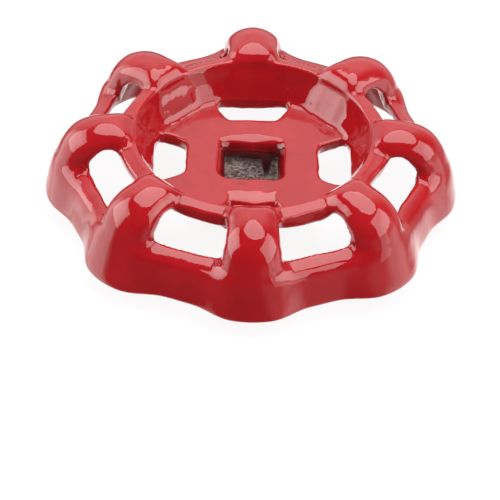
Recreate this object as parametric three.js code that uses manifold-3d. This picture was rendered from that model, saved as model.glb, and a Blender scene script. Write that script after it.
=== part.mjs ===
// Eight-lobed handwheel for a small water shutoff valve: one cast-iron casting with a red enamel coat.
// Units are millimetres, +Z is up. The origin is the centre of the boss's end face, on the stem's axis.
// The casting is divided into its cast features by hairline cuts, so that each node is a simple solid:
// the square boss, the web plate, eight sectors of the inner wall, eight lobe caps, eight lobe skirts and eight rim bars.
import * as THREE from "three";
import { mergeVertices } from "three/addons/utils/BufferGeometryUtils.js";
import Module from "manifold-3d";

const wasm = await Module();
wasm.setup();

// ---- driving dimensions -------------------------------------------------------------------------------------------
const LOBES = 8; // lobes round the rim
const PITCH = (2 * Math.PI) / LOBES;
const LOBE_R = 35.0; // rim radius at a lobe: 70 mm across the wheel
const VALLEY_R = 31.95; // rim radius between two lobes
const RIM_Z = 3.2; // height of the rim's lower edge above the boss's end face
const WEB_UNDER_Z = 8.2; // underside of the web plate
const WEB_TOP_Z = 10.4; // top of the web plate
const WEB_R = 17.2; // the web plate meets the inner wall here
const SOCKET = 9.0; // side of the square socket for the valve stem
const SOCKET_TOP = 9.1; // the socket opens out a little towards the top
const LIP = 11.3; // side of the socket's mouth in the web's top face
const LIP_DEPTH = 1.1; // depth of that mouth's slope
const BOSS = 14.5; // side of the square boss
const BOSS_CORNER_END = 3.5; // corner chamfer of the boss at its end face
const BOSS_CORNER_ROOT = 1.3; // corner chamfer of the boss at the web
const SLOT_IN = 11.3; // slots in the web run from this radius to the inner wall
const SLOT_IN_HALF = 3.9; // half width of a slot at its inner edge
const SLOT_MID = 14.4; // the slot's slanted ends stop at this radius
const SLOT_MID_HALF = 6.2; // half width of a slot from there outwards
const STRIP_R0 = 21.0; // the arch of a lobe is a strip between two windows, this half width at this radius
const STRIP_H0 = 4.55;
const STRIP_SLOPE = 0.05; // the strip widens outwards by this much each side
const CAP_IN = 21.5; // a lobe's cap runs from here
const CAP_OUT = 30.9; // to here, and the skirt goes on outwards and down
const WINDOW_IN = 22.6; // a window's inner edge, measured along the line half way between two lobes
const WINDOW_OUT = 28.0; // a window's outer edge
const KERF = 0.2; // width of the hairline cuts between nodes
const COLUMNS = 96; // facets round the ring

// Section of the ring through the middle of a lobe and half way between two lobes: [radius, height above the rim's lower edge].
// Both start at the top of the inner wall's foot, go over the top and down the skirt, and come back underneath.
const LOBE_SECTION = [
  [WEB_R, WEB_TOP_Z - RIM_Z],
  [18.7, 10.0],
  [20.0, 12.6],
  [21.4, 14.1],
  [23.6, 14.85],
  [26.2, 14.75],
  [28.6, 14.0],
  [30.6, 12.7],
  [32.1, 10.8],
  [33.2, 8.4],
  [34.1, 5.6],
  [34.7, 2.6],
  [LOBE_R, 0.0],
  [33.0, 0.0],
  [32.7, 2.5],
  [32.1, 5.2],
  [31.2, 7.7],
  [30.1, 9.8],
  [28.8, 11.2],
  [27.2, 12.1],
  [25.4, 12.5],
  [24.0, 12.5],
  [22.9, 11.9],
  [21.8, 10.5],
  [20.4, 8.2],
  [19.2, 6.3],
  [WEB_R, WEB_UNDER_Z - RIM_Z],
];
const VALLEY_SECTION = [
  [WEB_R, WEB_TOP_Z - RIM_Z],
  [18.7, 9.9],
  [19.9, 12.3],
  [20.6, 13.0],
  [22.7, 12.35],
  [24.3, 11.1],
  [26.2, 10.0],
  [28.2, 8.5],
  [29.5, 7.55],
  [30.6, 6.7],
  [31.3, 5.2],
  [31.8, 2.6],
  [VALLEY_R, 0.0],
  [29.95, 0.0],
  [29.85, 2.4],
  [29.5, 4.2],
  [28.9, 5.4],
  [27.8, 6.3],
  [26.4, 7.3],
  [25.0, 8.3],
  [23.7, 9.2],
  [22.7, 10.0],
  [22.0, 10.4],
  [21.2, 9.9],
  [20.1, 8.2],
  [19.0, 6.4],
  [WEB_R, WEB_UNDER_Z - RIM_Z],
];
// Rows of the section where the lobe is a broad wave round the rim; the rows over the top keep the lobe a narrow strip.
const BROAD_FIRST = 9;
const BROAD_LAST = 16;

const PAINT = { color: 0xb01820, roughness: 0.22, metalness: 0.0 };

// ---- solids -------------------------------------------------------------------------------------------------------
// A closed three.js geometry as a manifold solid.
function solid(geometry) {
  const g = geometry.index ? geometry.toNonIndexed() : geometry.clone();
  g.deleteAttribute("normal");
  g.deleteAttribute("uv");
  const merged = mergeVertices(g, 1e-3);
  const triVerts = new Uint32Array(merged.index.array);
  const build = (tv) =>
    new wasm.Manifold(
      new wasm.Mesh({
        numProp: 3,
        vertProperties: new Float32Array(merged.attributes.position.array),
        triVerts: tv,
      }),
    );
  const made = build(triVerts);
  if (made.volume() > 0) return made;
  for (let i = 0; i < triVerts.length; i += 3)
    [triVerts[i + 1], triVerts[i + 2]] = [triVerts[i + 2], triVerts[i + 1]];
  return build(triVerts);
}

// A manifold solid as a three.js geometry.
function geometryOf(s) {
  const m = s.getMesh();
  const g = new THREE.BufferGeometry();
  g.setAttribute(
    "position",
    new THREE.BufferAttribute(new Float32Array(m.vertProperties), 3),
  );
  g.setIndex(new THREE.BufferAttribute(new Uint32Array(m.triVerts), 1));
  g.computeVertexNormals();
  return g;
}

// An upright prism over a polygon given as [x, y] points, turned about the wheel's axis.
function prism(points, z0, z1, turn = 0) {
  const shape = new THREE.Shape(points.map(([x, y]) => new THREE.Vector2(x, y)));
  const g = new THREE.ExtrudeGeometry(shape, {
    depth: z1 - z0,
    bevelEnabled: false,
    steps: 1,
  });
  g.translate(0, 0, z0);
  g.rotateZ(turn);
  return solid(g);
}

// A four-sided frustum with flat sides square to X and Y: side lengths at the bottom and at the top.
function squareFrustum(bottom, top, z0, z1) {
  const g = new THREE.CylinderGeometry(
    top / Math.SQRT2,
    bottom / Math.SQRT2,
    z1 - z0,
    4,
    1,
  );
  g.rotateX(Math.PI / 2);
  g.rotateZ(Math.PI / 4);
  g.translate(0, 0, (z0 + z1) / 2);
  return solid(g);
}

const smooth = (a, b, x) => {
  const t = Math.min(1, Math.max(0, (x - a) / (b - a)));
  return t * t * (3 - 2 * t);
};

// The whole ring: a section turned about the axis, its radius and height blended between lobe and valley at each angle.
function ring() {
  const section = VALLEY_SECTION.map(([r, z]) => new THREE.Vector2(r, z));
  section.push(section[0].clone());
  const g = new THREE.LatheGeometry(section, COLUMNS);
  const p = g.attributes.position;
  const rows = section.length;
  for (let i = 0; i <= COLUMNS; i++) {
    const angle = ((i % COLUMNS) / COLUMNS) * 2 * Math.PI;
    const local = Math.abs(angle - Math.round(angle / PITCH) * PITCH);
    const wave = 0.5 + 0.5 * Math.cos(LOBES * angle);
    for (let j = 0; j < rows; j++) {
      const k = j % VALLEY_SECTION.length;
      const [rl, zl] = LOBE_SECTION[k];
      const [rv, zv] = VALLEY_SECTION[k];
      const across = 0.5 * (rl + rv) * Math.sin(local);
      const strip = 1 - smooth(2.6, 7.2, across);
      const w = k >= BROAD_FIRST && k <= BROAD_LAST ? wave : strip;
      const r = rv + (rl - rv) * w;
      const z = zv + (zl - zv) * w;
      p.setXYZ(
        i * rows + j,
        r * Math.cos(angle),
        r * Math.sin(angle),
        z + RIM_Z,
      );
    }
  }
  return solid(g);
}

// ---- regions that divide the ring ---------------------------------------------------------------------------------
const LOW = -5;
const HIGH = 30;
const half = (u) => STRIP_H0 + (u - STRIP_R0) * STRIP_SLOPE;
const strip = (u0, u1, grow, turn) =>
  prism(
    [
      [u0, -half(u0) - grow],
      [u1, -half(u1) - grow],
      [u1, half(u1) + grow],
      [u0, half(u0) + grow],
    ],
    LOW,
    HIGH,
    turn,
  );
// A sector of the plan between two radii, narrowed by a cut's width on each side, drawn with straight ends.
const sector = (r0, r1, turn) => {
  const a = PITCH / 2;
  const k = KERF / 2 / Math.sin(a);
  const edge = (q) => (q - k) * Math.tan(a);
  return prism(
    [
      [r0, -edge(r0)],
      [r1, -edge(r1)],
      [r1, edge(r1)],
      [r0, edge(r0)],
    ],
    LOW,
    HIGH,
    turn,
  );
};

const wheelRing = ring();
const parts = [];
const clearance = prism(
  Array.from({ length: 64 }, (_, i) => {
    const a = (i / 64) * 2 * Math.PI;
    return [(WEB_R + KERF) * Math.cos(a), (WEB_R + KERF) * Math.sin(a)];
  }),
  LOW,
  WEB_TOP_Z + 0.05,
);

for (let n = 0; n < LOBES; n++) {
  const turn = n * PITCH;
  const label = n + 1;
  // lobe n is at azimuth n * 45 degrees, and window n lies between lobe n and lobe n + 1
  parts.push([
    `lobe_cap_${label}`,
    wheelRing.intersect(strip(CAP_IN, CAP_OUT, 0, turn)),
  ]);
  parts.push([
    `lobe_skirt_${label}`,
    wheelRing.intersect(strip(CAP_OUT + KERF, 40, 0, turn)),
  ]);
  const windowTurn = turn + PITCH / 2;
  parts.push([
    `rim_bar_${label}`,
    wheelRing
      .intersect(sector(WINDOW_OUT, 40, windowTurn))
      .subtract(strip(18, 45, KERF, turn))
      .subtract(strip(18, 45, KERF, turn + PITCH)),
  ]);
  const reach = WINDOW_IN;
  // inner wall sector centred on lobe n: bounded by the two windows' inner edges and by the lobe's cap
  const edges = [windowTurn, windowTurn - PITCH].map((t) =>
    prism(
      [
        [0, -40],
        [reach, -40],
        [reach, 40],
        [0, 40],
      ],
      LOW,
      HIGH,
      t,
    ),
  );
  parts.push([
    `inner_wall_${label}`,
    wheelRing
      .intersect(sector(5, 30, turn))
      .intersect(edges[0])
      .intersect(edges[1])
      .subtract(strip(CAP_IN - KERF, 45, KERF, turn))
      .subtract(clearance),
  ]);
}

// web plate: a flat disc with four slots and the socket's mouth
const slot = (turn) =>
  prism(
    [
      [SLOT_IN, -SLOT_IN_HALF],
      [SLOT_MID, -SLOT_MID_HALF],
      [20, -SLOT_MID_HALF],
      [20, SLOT_MID_HALF],
      [SLOT_MID, SLOT_MID_HALF],
      [SLOT_IN, SLOT_IN_HALF],
    ],
    LOW,
    HIGH,
    turn,
  );
const discGeometry = new THREE.CylinderGeometry(
  WEB_R,
  WEB_R,
  WEB_TOP_Z - WEB_UNDER_Z,
  64,
  1,
);
discGeometry.rotateX(Math.PI / 2);
discGeometry.translate(0, 0, (WEB_TOP_Z + WEB_UNDER_Z) / 2);
let web = solid(discGeometry);
for (let n = 0; n < 4; n++) web = web.subtract(slot((n * Math.PI) / 2));
web = web
  .subtract(squareFrustum(SOCKET, SOCKET_TOP, -1, WEB_TOP_Z + 1))
  .subtract(
    squareFrustum(
      SOCKET_TOP,
      LIP + (LIP - SOCKET_TOP) / LIP_DEPTH,
      WEB_TOP_Z - LIP_DEPTH,
      WEB_TOP_Z + 1,
    ),
  );
parts.push(["web_plate", web]);

// square boss under the web: its corners are cut back more at the end face than at the root
const bossTop = WEB_UNDER_Z - KERF;
const cornerSide = (leg) => Math.SQRT2 * (BOSS - leg);
const cornerGeometry = new THREE.CylinderGeometry(
  cornerSide(BOSS_CORNER_ROOT) / Math.SQRT2,
  cornerSide(BOSS_CORNER_END) / Math.SQRT2,
  bossTop,
  4,
  1,
);
cornerGeometry.rotateX(Math.PI / 2);
cornerGeometry.translate(0, 0, bossTop / 2);
const bossBody = solid(
  new THREE.BoxGeometry(BOSS, BOSS, bossTop).translate(0, 0, bossTop / 2),
);
const boss = bossBody
  .intersect(solid(cornerGeometry))
  .subtract(squareFrustum(SOCKET, SOCKET_TOP, -1, WEB_TOP_Z + 1));
parts.push(["hub_boss", boss]);

// ---- scene graph --------------------------------------------------------------------------------------------------
const handwheel = new THREE.Group();
handwheel.name = "valve_handwheel";
for (const [name, s] of parts) {
  const mesh = new THREE.Mesh(
    geometryOf(s),
    new THREE.MeshStandardMaterial(PAINT),
  );
  mesh.name = name;
  handwheel.add(mesh);
}

export default handwheel;
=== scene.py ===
import math

import bpy
import numpy as np
from mathutils import Matrix, Vector


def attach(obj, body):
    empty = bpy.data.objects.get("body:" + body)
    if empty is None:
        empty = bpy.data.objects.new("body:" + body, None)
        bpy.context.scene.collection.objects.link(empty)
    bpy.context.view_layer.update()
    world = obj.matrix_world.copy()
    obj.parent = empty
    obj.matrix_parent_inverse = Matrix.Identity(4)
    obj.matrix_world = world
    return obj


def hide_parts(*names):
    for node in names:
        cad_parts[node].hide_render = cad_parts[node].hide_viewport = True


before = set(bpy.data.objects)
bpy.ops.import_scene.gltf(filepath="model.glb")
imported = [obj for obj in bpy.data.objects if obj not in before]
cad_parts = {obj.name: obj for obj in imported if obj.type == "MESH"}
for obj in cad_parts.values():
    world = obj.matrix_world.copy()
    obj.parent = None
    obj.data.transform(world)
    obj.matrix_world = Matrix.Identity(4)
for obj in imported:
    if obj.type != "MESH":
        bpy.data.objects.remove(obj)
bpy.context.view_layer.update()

# ------------------------------------------------------------------------------------------------------------------
# The casting, as one signed distance field in millimetres, in the part's frame.
# Heights in the tables are above the rim's lower edge, which lies RIM_Z above the boss's end face.
# ------------------------------------------------------------------------------------------------------------------
RIM_Z = 3.2
WALL = 2.0
ARCH = 3.2
WEB_TOP, WEB_UNDER = 7.2, 5.0
LOBE_SECTION = [(17.05, -6), (17.1, 7.2), (18.6, 10.0), (19.9, 12.6), (21.3, 14.15), (23.5, 14.9), (26.2, 14.75),
                (28.6, 14.0), (30.6, 12.7), (32.1, 10.8), (33.2, 8.4), (34.1, 5.6), (34.6, 2.6), (34.85, 0.0), (34.95, -6)]
VALLEY_SECTION = [(17.05, -6), (17.1, 7.2), (18.7, 9.9), (19.75, 12.2), (20.35, 13.0), (21.5, 12.7), (22.95, 12.2), (24.0, 10.9),
                  (25.8, 9.1), (27.5, 8.25), (29.3, 7.6), (30.5, 6.8), (31.2, 5.3), (31.7, 2.8), (31.95, 0.0), (32.05, -6)]
# how far each lobe stands out from the even outline, low on the skirt and high on it, and how far each slot lies off its place
LOBE_LOW = [0.15, 0.12, 0.0, 0.1, 0.3, 0.50, -0.22, 0.50]
LOBE_HIGH = [0.0, 0.1, 0.0, 0.1, 0.1, -0.3, -0.2, -0.2]
SLOT_OFF = [0.0, 0.0, 0.60, 0.0]
VOXEL = 0.40


def catmull(points, steps=6):
    """The polyline with its middle stretch smoothed by a Catmull-Rom curve."""
    p = np.array(points, float)
    out = []
    n = len(p)
    for i in range(n - 1):
        p0, p1, p2, p3 = p[max(i - 1, 0)], p[i], p[i + 1], p[min(i + 2, n - 1)]
        if i < 2 or i >= n - 2:
            out.append(p1)
            continue
        for s in range(steps):
            t = s / steps
            out.append(0.5 * ((2 * p1) + (p2 - p0) * t + (2 * p0 - 5 * p1 + 4 * p2 - p3) * t * t
                              + (3 * p1 - p0 - 3 * p2 + p3) * t ** 3))
    out.append(p[-1])
    return np.array(out)


class Section:
    """Signed distance to a section polygon, tabulated in (radius, height)."""
    R0, R1, Z0, Z1, H = 10.0, 42.0, -6.0, 22.0, 0.1

    def __init__(self, points):
        poly = catmull(points)
        nr = int(round((self.R1 - self.R0) / self.H)) + 1
        nz = int(round((self.Z1 - self.Z0) / self.H)) + 1
        r = self.R0 + self.H * np.arange(nr)
        z = self.Z0 + self.H * np.arange(nz)
        gr, gz = np.meshgrid(r, z, indexing="ij")
        d2 = np.full(gr.shape, 1e9)
        inside = np.zeros(gr.shape, bool)
        a = poly
        b = np.roll(poly, -1, 0)
        for (ax, ay), (bx, by) in zip(a, b):
            ex, ey = bx - ax, by - ay
            wx, wy = gr - ax, gz - ay
            k = np.clip((wx * ex + wy * ey) / (ex * ex + ey * ey + 1e-12), 0, 1)
            closing = abs(ay + 6) < 1e-6 and abs(by + 6) < 1e-6
            if not closing:
                dx, dy = wx - ex * k, wy - ey * k
                d2 = np.minimum(d2, dx * dx + dy * dy)
            cross = ((ay > gz) != (by > gz)) & (gr < (bx - ax) * (gz - ay) / (by - ay + 1e-12) + ax)
            inside ^= cross
        self.table = np.sqrt(d2) * np.where(inside, -1, 1)
        self.nr, self.nz = nr, nz

    def __call__(self, r, z):
        fr = np.clip((r - self.R0) / self.H, 0, self.nr - 1.001)
        fz = np.clip((z - self.Z0) / self.H, 0, self.nz - 1.001)
        i, j = fr.astype(np.int32), fz.astype(np.int32)
        u, v = fr - i, fz - j
        t = self.table
        return ((t[i, j] * (1 - u) + t[i + 1, j] * u) * (1 - v) + (t[i, j + 1] * (1 - u) + t[i + 1, j + 1] * u) * v)


def smin(a, b, k):
    h = np.clip(0.5 + 0.5 * (b - a) / k, 0, 1)
    return b + (a - b) * h - k * h * (1 - h)


def smax(a, b, k):
    return -smin(-a, -b, k)


def smooth(a, b, x):
    t = np.clip((x - a) / (b - a), 0, 1)
    return t * t * (3 - 2 * t)


def round_and(a, b, rho):
    """Intersection of two distance fields with a round edge of radius rho."""
    a, b = a + rho, b + rho
    return np.minimum(np.maximum(a, b), 0) + np.hypot(np.maximum(a, 0), np.maximum(b, 0)) - rho


def wobble(x, y, z, scale, seed):
    """A smooth irregular field of about -1 to 1, from a fixed set of waves."""
    rng = np.random.RandomState(seed)
    out = np.zeros(np.broadcast(x, y, z).shape)
    for _ in range(7):
        d = rng.normal(size=3)
        d = d / np.linalg.norm(d) * (0.6 + 0.9 * rng.rand()) / scale
        out = out + np.sin(d[0] * x + d[1] * y + d[2] * z + rng.rand() * 6.283)
    return out / 4.0


lobe_section = Section(LOBE_SECTION)
valley_section = Section(VALLEY_SECTION)


def casting(x, y, zz):
    """Signed distance to the casting, negative inside. x, y, zz in millimetres in the part's frame."""
    z = zz - RIM_Z
    r = np.hypot(x, y)
    ang = np.arctan2(y, x)
    pitch = math.pi / 4
    phi = ang - np.round(ang / pitch) * pitch
    u, t = r * np.cos(phi), np.abs(r * np.sin(phi))
    # outline wave of the skirt
    lobe = np.round(ang / pitch).astype(np.int32) % 8
    rise = smooth(1.0, 7.0, z)
    grown = (np.array(LOBE_LOW)[lobe] * (1 - rise) + np.array(LOBE_HIGH)[lobe] * rise) * (0.5 + 0.5 * np.cos(8 * phi))
    wave = (33.33 + 1.80 * np.cos(8 * phi) - 0.18 * np.cos(24 * phi)) - 31.71
    stretch = 0.90 * wave * smooth(23.5, 31.0, r) * np.clip(1 - 0.03 * z, 0.5, 1.0) + grown * smooth(26.0, 31.0, r)
    f_valley = valley_section(r - stretch, z)
    hw = 4.55 + (u - 21.0) * 0.05
    outwards = smooth(20.5, 25.0, u)
    rt = 2.6 + (hw - 2.3) * outwards
    rz = 2.4 + 1.3 * outwards
    steep = 0.38 * ((lobe >= 1) & (lobe <= 3)) * smooth(12.0, 13.6, z) * smooth(23.5, 21.0, u)
    sec = lobe_section(u + steep - grown * smooth(26.0, 31.0, u), z)
    ka, kb = np.maximum(sec / rz + 1, 0), np.maximum((t - hw) / rt + 1, 0)
    f_lobe = np.where((ka > 0) & (kb > 0), (np.hypot(ka, kb) - 1) * np.minimum(rz, rt), np.maximum(sec, t - hw))
    outer = smin(f_valley, f_lobe, 0.35 + 1.25 * smooth(2.0, 8.0, z) - 0.8 * smooth(20.6, 22.2, r) * smooth(8.5, 10.5, z) - 0.9 * smooth(21.4, 20.4, r) * smooth(10.0, 12.0, z))
    # hollow underside: the shell's own offset, and a flat-bottomed way right through under each arch
    q = r * np.cos(np.pi / 8 - np.abs(phi))
    under = smax(sec + ARCH + 2.4 * smooth(24.8, 29.5, u), t - (hw + 0.6 - 2.8 * smooth(26.6, 28.4, q)), 0.8)
    hollow = smin(outer + WALL, under, 0.6)
    ring = smax(outer, -hollow, 0.5)
    ring = smax(ring, -z, 0.9)
    quarter = ang - np.round(ang / (math.pi / 2)) * (math.pi / 2)
    cone = (z - 5.35 - 0.78 * (r - 17.2) - 0.5 * np.where(y < 0, smooth(0.03, 0.24, np.abs(quarter)), smooth(0.17, 0.38, np.abs(quarter))) - 0.3 * np.cos(2 * (ang + 2.1))
            + 0.35 * smooth(0.7, 0.95, np.sin(ang))) / 1.27
    foot = np.maximum(r - 22.3 - 2.3 * smooth(hw - 0.7, hw + 0.3, t), cone)
    ring = smax(ring, -foot, 0.6)
    # windows
    edge = 0.24 * wobble(x, y, z, 1.2, 5) + 0.10 * wobble(x, y, z, 0.55, 15)
    win = smax(np.abs(q - 25.07) - 2.51, hw - t, 0.7) + edge
    ring = smax(ring, -win, 0.8 - 0.35 * smooth(23.6, 23.0, q))
    # web plate with its slots
    side = np.array(SLOT_OFF)[np.round(ang / (math.pi / 2)).astype(np.int32) % 4]
    su, st = r * np.cos(quarter), np.abs(r * np.sin(quarter) + side)
    front = -y > np.abs(x)
    begin = 11.3 + front * (0.72 * np.clip(1 - (st / 4.2) ** 2, 0, 1) - 0.55 + 0.7 * smooth(6.45, 5.95, z))
    slope = (st - 3.9 - 0.3 * (x > np.abs(y))) * (3.2 / 3.95) - (su - 11.3) * (2.3 / 3.95)
    slot = smax(smax(begin - su, slope, 0.8), st - 6.2, 1.6) + 0.17 * wobble(x, y, z, 1.0, 8) + 0.08 * wobble(x, y, z, 0.5, 18)
    flare = 4.5 - 0.12 * np.clip(su - 8.6, 0, 4)
    fall = 0.17 * np.clip(su - 8.5 + 0.12 * np.sin(1.9 * x), 0, 3) * smooth(flare + 0.35, flare - 0.35, st) * front
    fall = fall + 0.34 * np.clip(7.1 - 0.045 * (x + 0.15) ** 2 - y + 0.10 * np.sin(1.3 * x + 1), 0, 2.2) * smooth(3.6, 4.3, y) * smooth(6.1, 5.0, np.abs(x + 0.15))
    web = np.maximum(np.abs(z - 0.5 * (WEB_TOP + WEB_UNDER)) - 0.5 * (WEB_TOP - WEB_UNDER), r - 17.3)
    web = np.maximum(web, (z - WEB_TOP + fall) / 1.02)
    web = smax(smax(web, -slot, 0.7), -cone, 0.6)
    body = smin(ring, web, 0.95)
    # square boss
    ax, ay = np.abs(x), np.abs(y)
    waist = 7.25 - 0.35 * np.sin(np.clip((z + RIM_Z) / 8.4, 0, 1) * math.pi)
    sq = smax(ax - waist, ay - waist, 1.2)
    chamfer = (ax + ay) / math.sqrt(2) - (7.75 + 1.5 * smooth(-RIM_Z, 3.5, z))
    boss = smax(smax(sq, chamfer, 0.8), -(z + RIM_Z - 0.07), 0.8)
    boss = np.maximum(boss, z - 6.2)
    body = smin(body, boss, 1.3)
    seam = np.hypot(np.maximum(sq, chamfer) - 0.55, z - 4.75 + 0.25 * np.sin(0.8 * x) * np.cos(0.7 * y)) - 0.42
    body = smin(body, seam, 0.5)
    # square socket
    side = 4.5 + 0.05 * np.clip((z + RIM_Z) / 10.4, 0, 1)
    lip = side + 1.1 * smooth(4.9, 7.5, z)
    px = np.abs(x + 0.15)
    hole = round_and(px - lip, ay - lip + 0.6 * smooth(4.0, 7.0, z) * (y < 0), 0.25 + 1.9 * smooth(4.6, 6.8, z))
    hole = hole + 0.16 * wobble(x, y, z, 1.0, 21)
    body = smax(body, -hole, 0.7)
    return body + 0.035 * wobble(x, y, z, 2.2, 31)


def surface_net(f, lo, h, shape):
    """Vertices and quads on the zero level of a field sampled on a grid."""
    n0, n1, n2 = shape
    inside = f < 0
    corner = [(a, b, c) for a in (0, 1) for b in (0, 1) for c in (0, 1)]
    block = lambda v, a, b, c: v[a:n0 - 1 + a, b:n1 - 1 + b, c:n2 - 1 + c]
    count = sum(block(inside, *c).astype(np.int8) for c in corner)
    mixed = (count > 0) & (count < 8)
    ids = -np.ones(mixed.shape, np.int64)
    cells = np.argwhere(mixed)
    ids[mixed] = np.arange(len(cells))
    total = np.zeros((len(cells), 3))
    weight = np.zeros(len(cells))
    i, j, k = cells.T
    for a in corner:
        for axis in range(3):
            if a[axis]:
                continue
            b = list(a)
            b[axis] = 1
            fa = f[i + a[0], j + a[1], k + a[2]]
            fb = f[i + b[0], j + b[1], k + b[2]]
            hit = (fa < 0) != (fb < 0)
            t = np.where(hit, fa / np.where(hit, fa - fb, 1), 0)
            p = np.array(a, float)[None, :].repeat(len(cells), 0)
            p[:, axis] += t
            total += p * hit[:, None]
            weight += hit
    verts = lo + h * (cells + total / weight[:, None])
    quads = []
    for axis in range(3):
        o1, o2 = (axis + 1) % 3, (axis + 2) % 3
        sl0 = [slice(1, -1)] * 3
        sl1 = [slice(1, -1)] * 3
        sl0[axis] = slice(0, -1)
        sl1[axis] = slice(1, None)
        change = inside[tuple(sl0)] != inside[tuple(sl1)]
        edge = np.argwhere(change)
        base = edge + 1
        base[:, axis] -= 1
        starts = inside[tuple(base.T)]
        def cell(d1, d2):
            c = base.copy()
            c[:, o1] -= d1
            c[:, o2] -= d2
            return ids[tuple(c.T)]
        q = np.stack([cell(1, 1), cell(0, 1), cell(0, 0), cell(1, 0)], 1)
        q = np.where(starts[:, None], q, q[:, ::-1])
        quads.append(q)
    return verts, np.concatenate(quads)


def part_sheets(f):
    """Where a face of the grid has its signs crossed, two sheets would share an edge: turn its nearest corner over."""
    for _ in range(6):
        crossed = 0
        for axis in range(3):
            o1, o2 = (axis + 1) % 3, (axis + 2) % 3
            def corner_at(a, b):
                cut = [slice(None)] * 3
                cut[o1] = slice(1, None) if a else slice(0, -1)
                cut[o2] = slice(1, None) if b else slice(0, -1)
                return f[tuple(cut)] < 0
            c00, c10, c11, c01 = corner_at(0, 0), corner_at(1, 0), corner_at(1, 1), corner_at(0, 1)
            face = np.argwhere((c00 == c11) & (c10 == c01) & (c00 != c10))
            crossed += len(face)
            for at in face:
                corners = [at + np.eye(3, dtype=int)[o1] * a + np.eye(3, dtype=int)[o2] * b for a in (0, 1) for b in (0, 1)]
                near = tuple(min(corners, key=lambda c: abs(f[tuple(c)])))
                f[near] = -f[near]
        if not crossed:
            break
    return f


def gradient(p, e=0.05):
    g = np.stack([casting(*(p + d * e).T) - casting(*(p - d * e).T) for d in np.eye(3)], 1) / (2 * e)
    return g


def build_casting():
    lo = np.array([-36.4, -36.4, -0.8])
    hi = np.array([36.4, 36.4, 19.8])
    shape = np.ceil((hi - lo) / VOXEL).astype(int) + 1
    xs, ys, zs = [lo[a] + VOXEL * np.arange(shape[a]) for a in range(3)]
    f = np.empty(shape)
    for k in range(0, shape[0], 16):
        gx, gy, gz = np.meshgrid(xs[k:k + 16], ys, zs, indexing="ij")
        f[k:k + 16] = casting(gx, gy, gz)
    verts, quads = surface_net(part_sheets(f), lo, VOXEL, shape)
    for _ in range(3):
        g = gradient(verts)
        n2 = np.maximum((g * g).sum(1), 0.05)
        step = (casting(*verts.T) / n2)[:, None] * g
        length = np.linalg.norm(step, axis=1, keepdims=True)
        verts = verts - step * np.minimum(1, 0.25 / np.maximum(length, 1e-9))
    return verts, quads


verts, quads = build_casting()
mesh = bpy.data.meshes.new("handwheel_casting")
mesh.from_pydata((verts / 1000).tolist(), [], quads.tolist())
mesh.validate()
mesh.update()
mesh.polygons.foreach_set("use_smooth", [True] * len(mesh.polygons))
wheel = bpy.data.objects.new("handwheel_casting", mesh)
bpy.context.collection.objects.link(wheel)
print("casting:", len(verts), "vertices,", len(quads), "quads")

# ------------------------------------------------------------------------------------------------------------------
# Materials
# ------------------------------------------------------------------------------------------------------------------
class Graph:
    """Short names for building a node tree."""

    def __init__(self, tree):
        self.t = tree

    def node(self, kind, **settings):
        n = self.t.nodes.new(kind)
        for k, v in settings.items():
            setattr(n, k, v)
        return n

    def put(self, socket, value):
        if isinstance(value, bpy.types.NodeSocket):
            self.t.links.new(value, socket)
        else:
            socket.default_value = value

    def math(self, op, a, b=0.0, c=0.0):
        n = self.node("ShaderNodeMath", operation=op)
        for s, v in zip(n.inputs, (a, b, c)):
            self.put(s, v)
        return n.outputs[0]

    def ramp(self, value, a, b, lo=0.0, hi=1.0):
        """Smooth step of value from a to b, going from lo to hi."""
        n = self.node("ShaderNodeMapRange", interpolation_type="SMOOTHSTEP")
        for s, v in zip(n.inputs, (value, a, b, lo, hi)):
            self.put(s, v)
        return n.outputs[0]

    def noise(self, vector, scale, detail=2.0, rough=0.5, distort=0.0):
        n = self.node("ShaderNodeTexNoise")
        self.put(n.inputs["Vector"], vector)
        self.put(n.inputs["Scale"], scale)
        self.put(n.inputs["Detail"], detail)
        self.put(n.inputs["Roughness"], rough)
        self.put(n.inputs["Distortion"], distort)
        return n.outputs["Fac"]

    def spots(self, vector, scale, feature="F1"):
        n = self.node("ShaderNodeTexVoronoi", feature=feature)
        self.put(n.inputs["Vector"], vector)
        self.put(n.inputs["Scale"], scale)
        return n.outputs["Distance"]

    def mix(self, fac, a, b):
        n = self.node("ShaderNodeMix", data_type="RGBA")
        self.put(n.inputs[0], fac)
        self.put(n.inputs[6], a)
        self.put(n.inputs[7], b)
        return n.outputs[2]

    def mixf(self, fac, a, b):
        n = self.node("ShaderNodeMix", data_type="FLOAT")
        self.put(n.inputs[0], fac)
        self.put(n.inputs[2], a)
        self.put(n.inputs[3], b)
        return n.outputs[0]

    def bump(self, height, distance, strength=1.0, normal=None):
        n = self.node("ShaderNodeBump")
        self.put(n.inputs["Height"], height)
        n.inputs["Distance"].default_value = distance
        n.inputs["Strength"].default_value = strength
        if normal is not None:
            self.put(n.inputs["Normal"], normal)
        return n.outputs[0]

    def attribute(self, name):
        return self.node("ShaderNodeAttribute", attribute_name=name).outputs["Fac"]


def new_material(name):
    m = bpy.data.materials.new(name)
    m.use_nodes = True
    nt = m.node_tree
    return m, Graph(nt), nt.nodes["Principled BSDF"]


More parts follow.
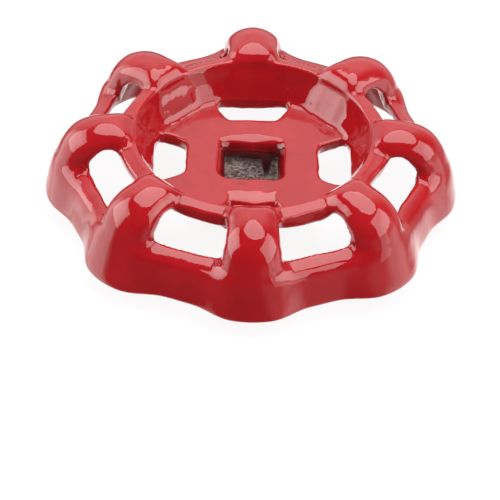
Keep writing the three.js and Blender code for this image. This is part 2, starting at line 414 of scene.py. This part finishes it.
def enamel_over_iron():
    """Glossy red dip enamel on a sand casting, bare where the socket was kept clear of it."""
    m, g, bsdf = new_material("red_enamel")
    coord = g.node("ShaderNodeTexCoord").outputs["Object"]
    scale = g.node("ShaderNodeVectorMath", operation="SCALE")
    g.put(scale.inputs[0], coord)
    scale.inputs["Scale"].default_value = 1000.0
    mm = scale.outputs[0]
    split = g.node("ShaderNodeSeparateXYZ")
    g.put(split.inputs[0], mm)
    x, y, z = split.outputs

    # bare iron: inside the square socket, below an uneven edge with a few runs of enamel
    reach = g.math("MAXIMUM", g.math("ABSOLUTE", x), g.math("ABSOLUTE", y))
    around = g.node("ShaderNodeCombineXYZ")
    g.put(around.inputs[0], x)
    g.put(around.inputs[1], y)
    g.put(around.inputs[2], g.math("MULTIPLY", z, 0.22))
    runs = g.noise(around.outputs[0], 0.30, 1.5, 0.5)
    drip = g.math("MULTIPLY", g.ramp(g.math("ABSOLUTE", g.math("SUBTRACT", x, 2.6)), 1.0, 0.25, 0.0, 3.0), g.math("GREATER_THAN", y, 3.5))
    edge_even = g.math("ADD", 7.6, g.math("MULTIPLY", g.math("SUBTRACT", runs, 0.5), -4.0))
    edge_top = g.math("SUBTRACT", edge_even, drip)
    edge_low = g.math("ADD", 0.55, g.math("MULTIPLY", g.math("SUBTRACT", g.noise(mm, 1.1), 0.5), 1.2))
    below = g.ramp(g.math("SUBTRACT", edge_top, z), -0.06, 0.06)
    above = g.ramp(g.math("SUBTRACT", z, edge_low), -0.06, 0.06)
    within = g.math("LESS_THAN", reach, 5.1)
    iron = g.math("MULTIPLY", within, g.math("MULTIPLY", below, above))

    # enamel colour: slightly cloudy, with a few faint smudges; painted highlight lighter over convex edges and painted
    # shade darker in the hollows, from the curvature
    curve = g.attribute("curvature")
    cloud = g.noise(mm, 0.16, 3.0, 0.55)
    streak = g.noise(mm, 0.75, 4.0, 0.62, 0.6)
    red = g.mix(g.ramp(cloud, 0.38, 0.68), (0.310, 0.0070, 0.0100, 1), (0.345, 0.0090, 0.0125, 1))
    red = g.mix(g.ramp(streak, 0.63, 0.80, 0.0, 0.35), red, (0.215, 0.0045, 0.0070, 1))
    # painted highlight: lighter red where the surface is convex, over the edges
    red = g.mix(g.ramp(curve, 0.18, 0.75, 0.0, 0.40), red, (0.40, 0.0150, 0.0180, 1))
    # painted shade: darker red where the surface is concave, in the hollows
    red = g.mix(g.ramp(curve, -0.12, -0.60, 0.0, 0.55), red, (0.205, 0.0035, 0.0060, 1))
    brushed = g.node("ShaderNodeVectorMath", operation="MULTIPLY")
    g.put(brushed.inputs[0], mm)
    brushed.inputs[1].default_value = (0.55, 1.5, 1.0)
    smudge = g.math("MULTIPLY", g.ramp(g.noise(brushed.outputs[0], 0.62, 3.0, 0.6, 1.2), 0.615, 0.70, 0.0, 0.55),
                    g.math("MULTIPLY", g.math("LESS_THAN", z, 10.7), g.math("GREATER_THAN", z, 9.9)))
    red = g.mix(smudge, red, (0.150, 0.0035, 0.0050, 1))
    # painted shade down the socket's enamelled wall, below the lip and towards the bare iron; only partly the enamel
    # thinning where it feathers out over the iron
    socket_shade_and_thin_enamel = g.math("MULTIPLY", g.math("LESS_THAN", reach, 5.45), g.math("ADD", g.ramp(g.math("SUBTRACT", z, edge_even), 3.5, 0.2, 0.0, 0.60), g.ramp(z, 10.4, 9.6, 0.0, 0.32)))
    red = g.mix(socket_shade_and_thin_enamel, red, (0.050, 0.0030, 0.0030, 1))
    grit = g.spots(mm, 0.62)
    speck = g.ramp(grit, 0.055, 0.035)
    red = g.mix(g.math("MULTIPLY", speck, 0.6), red, (0.10, 0.004, 0.005, 1))

    # iron colour: brown-grey oxide with brighter ridges, and painted shade darkening it just under the enamel's edge
    flat = g.node("ShaderNodeVectorMath", operation="MULTIPLY")
    g.put(flat.inputs[0], mm)
    flat.inputs[1].default_value = (0.8, 0.8, 1.5)
    grain = g.noise(flat.outputs[0], 1.15, 3.5, 0.62, 1.6)
    scaly = g.noise(mm, 0.8, 3.0, 0.6)
    metal = g.mix(g.ramp(grain, 0.40, 0.64), (0.17, 0.112, 0.102, 1), (0.80, 0.64, 0.60, 1))
    metal = g.mix(g.ramp(scaly, 0.48, 0.72, 0.0, 0.5), metal, (0.30, 0.17, 0.13, 1))
    # painted shade: the bare iron darkens towards the enamel's edge near the top of the socket
    metal = g.mix(g.ramp(g.math("SUBTRACT", edge_top, z), 0.1, 2.2, 0.85, 0.0), metal, (0.045, 0.022, 0.018, 1))

    g.put(bsdf.inputs["Base Color"], g.mix(iron, red, metal))
    smear = g.noise(mm, 0.35, 3.0, 0.6, 0.8)
    gloss = g.math("ADD", g.ramp(smear, 0.45, 0.75, 0.045, 0.10), g.math("MULTIPLY", speck, 0.2))
    g.put(bsdf.inputs["Roughness"], g.mixf(iron, gloss, g.ramp(grain, 0.3, 0.7, 0.62, 0.38)))
    g.put(bsdf.inputs["Metallic"], g.math("MULTIPLY", iron, 0.40))
    bsdf.inputs["IOR"].default_value = 1.5

    # relief: the enamel's slow waves and fine orange peel, the specks, the enamel's own edge, and the iron's grain
    slow = g.bump(g.noise(mm, 0.42, 1.0, 0.4), 0.00006)
    peel = g.bump(g.noise(mm, 2.2, 1.0, 0.5), 0.0000030, normal=slow)
    dots = g.bump(speck, 0.00003, normal=peel)
    lap = g.bump(iron, -0.00018, normal=dots)
    rough_height = g.math("MULTIPLY", iron, g.math("ADD", grain, g.math("MULTIPLY", scaly, 0.8)))
    g.put(bsdf.inputs["Normal"], g.bump(rough_height, 0.00055, normal=lap))
    return m


# mean curvature of the casting at each vertex, per millimetre: over edges it is positive, in hollows negative
H_CURV = 0.45
curv = sum(casting(*(verts + d * H_CURV).T) + casting(*(verts - d * H_CURV).T) for d in np.eye(3))
curv = (curv - 6 * casting(*verts.T)) / H_CURV ** 2 / 2
layer = mesh.attributes.new("curvature", "FLOAT", "POINT")
layer.data.foreach_set("value", np.clip(curv, -3, 3).astype(np.float32))
mesh.materials.append(enamel_over_iron())

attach(wheel, "root")
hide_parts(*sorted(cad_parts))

# ------------------------------------------------------------------------------------------------------------------
# Floor, camera and light
# ------------------------------------------------------------------------------------------------------------------
bpy.ops.mesh.primitive_plane_add(size=6, location=(0, 0, 0))
floor = bpy.context.object
floor.name = "floor"
fm, fg, fb = new_material("floor_paper")
fb.inputs["Base Color"].default_value = (0.11, 0.11, 0.11, 1)
fb.inputs["Roughness"].default_value = 0.9
fb.inputs["Specular IOR Level"].default_value = 0.1
fb.inputs["Emission Color"].default_value = (1, 1, 1, 1)
fb.inputs["Emission Strength"].default_value = 0.89
floor.data.materials.append(fm)
floor.visible_glossy = False

EL = math.radians(38.6)
AZ = math.radians(-1.2)
DIST = 0.650
SCALE = 5.843
TARGET = Vector((0, 0, RIM_Z / 1000))
PX = (251.1, 192.8)
ROLL = math.radians(2.05)
cam_data = bpy.data.cameras.new("camera")
cam = bpy.data.objects.new("camera", cam_data)
bpy.context.collection.objects.link(cam)
f_px = SCALE * DIST * 1000
cam_data.sensor_fit = "HORIZONTAL"
cam_data.sensor_width = 36
cam_data.lens = 36 * f_px / 500
cam_data.clip_start = 0.02
cam_data.clip_end = 20
away = Vector((math.sin(AZ), -math.cos(AZ), 0)) * math.cos(EL) + Vector((0, 0, math.sin(EL)))
eye = TARGET + away * DIST
fwd = -away
right = fwd.cross(Vector((0, 0, 1))).normalized()
up = right.cross(fwd).normalized()
# roll: the picture's right side hangs lower
c, s = math.cos(ROLL), math.sin(ROLL)
right_r = right * c + up * s
up_r = up * c - right * s
# turn the view so that the wheel's centre lands at PX instead of the middle of the frame
dx, dy = (250 - PX[0]) / f_px, (250 - PX[1]) / f_px
fwd2 = (fwd + right_r * dx - up_r * dy).normalized()
right2 = fwd2.cross(up_r).normalized()
up2 = right2.cross(fwd2).normalized()
rot = Matrix((right2, up2, -fwd2)).transposed()
cam.matrix_world = Matrix.Translation(eye) @ rot.to_4x4()
bpy.context.scene.camera = cam


def softbox(name, azimuth, elevation, width, height, radiance, shape="RECTANGLE", distance=1.0):
    """A light seen from the wheel at an azimuth (0 is +Y, 90 is +X) and elevation, sized in degrees."""
    d = bpy.data.lights.new(name, "AREA")
    d.shape = shape
    d.size = 2 * distance * math.tan(math.radians(width / 2))
    d.size_y = 2 * distance * math.tan(math.radians(height / 2))
    d.energy = radiance * d.size * d.size_y * LIGHT_UNIT * (math.pi / 4 if shape == "ELLIPSE" else 1)
    a, e = math.radians(azimuth), math.radians(elevation)
    way = Vector((math.sin(a) * math.cos(e), math.cos(a) * math.cos(e), math.sin(e)))
    o = bpy.data.objects.new(name, d)
    o.location = way * distance
    o.rotation_euler = (-way).to_track_quat("-Z", "Y").to_euler()
    o.visible_camera = False
    bpy.context.collection.objects.link(o)
    return o


LIGHT_UNIT = math.pi
softbox("softbox_top", 24, 79, 58, 50, 4.4, "ELLIPSE")
softbox("softbox_left", -87, 30, 52, 44, 3.3)
softbox("softbox_right", 108, 34, 54, 42, 3.3)
softbox("softbox_right_low", 122, 6, 22, 16, 1.3)

world = bpy.data.worlds.new("studio")
bpy.context.scene.world = world
world.use_nodes = True
wg = Graph(world.node_tree)
way = wg.node("ShaderNodeSeparateXYZ")
wg.put(way.inputs[0], wg.node("ShaderNodeTexCoord").outputs["Generated"])
wx, wy, wz = way.outputs
mul, add = (lambda a, b: wg.math("MULTIPLY", a, b)), (lambda a, b: wg.math("ADD", a, b))
left = mul(mul(wg.ramp(wx, -0.60, -0.80), wg.ramp(wy, -0.40, -0.10)), 2.15)
right = mul(mul(mul(wg.ramp(wx, 0.64, 0.84), wg.ramp(wy, 0.40, 0.15)), wg.ramp(wy, -0.62, -0.30)), 1.4)
back = mul(mul(mul(wg.ramp(wy, 0.25, 0.75), wg.ramp(wz, -0.35, 0.25)), mul(wg.ramp(wz, 0.40, 0.70, 1.0, 1.5), wg.ramp(wz, 0.90, 0.78, 0.2, 1.0))),
           wg.ramp(wx, 0.35, 0.75, 1.05, 0.25))
low = mul(mul(wg.ramp(wz, -0.30, -0.46), wg.ramp(wy, -0.35, 0.05)), 1.3)
right = mul(right, add(1.0, mul(mul(wg.ramp(wz, 0.02, 0.08), wg.ramp(wz, 0.26, 0.18)), -0.5)))
front = mul(wg.ramp(wz, 0.35, -0.10), add(mul(wg.ramp(wx, 0.25, 0.55), 0.38), 0.11))
room = add(add(wg.math("MAXIMUM", add(left, right), low), back), front)
path = wg.node("ShaderNodeLightPath")
lit = wg.mixf(path.outputs["Is Glossy Ray"], 0.30, room)
wg.put(world.node_tree.nodes["Background"].inputs["Strength"], wg.mixf(path.outputs["Is Camera Ray"], lit, 0.93))
world.node_tree.nodes["Background"].inputs["Color"].default_value = (1, 1, 1, 1)
bpy.context.scene.view_settings.view_transform = "Standard"
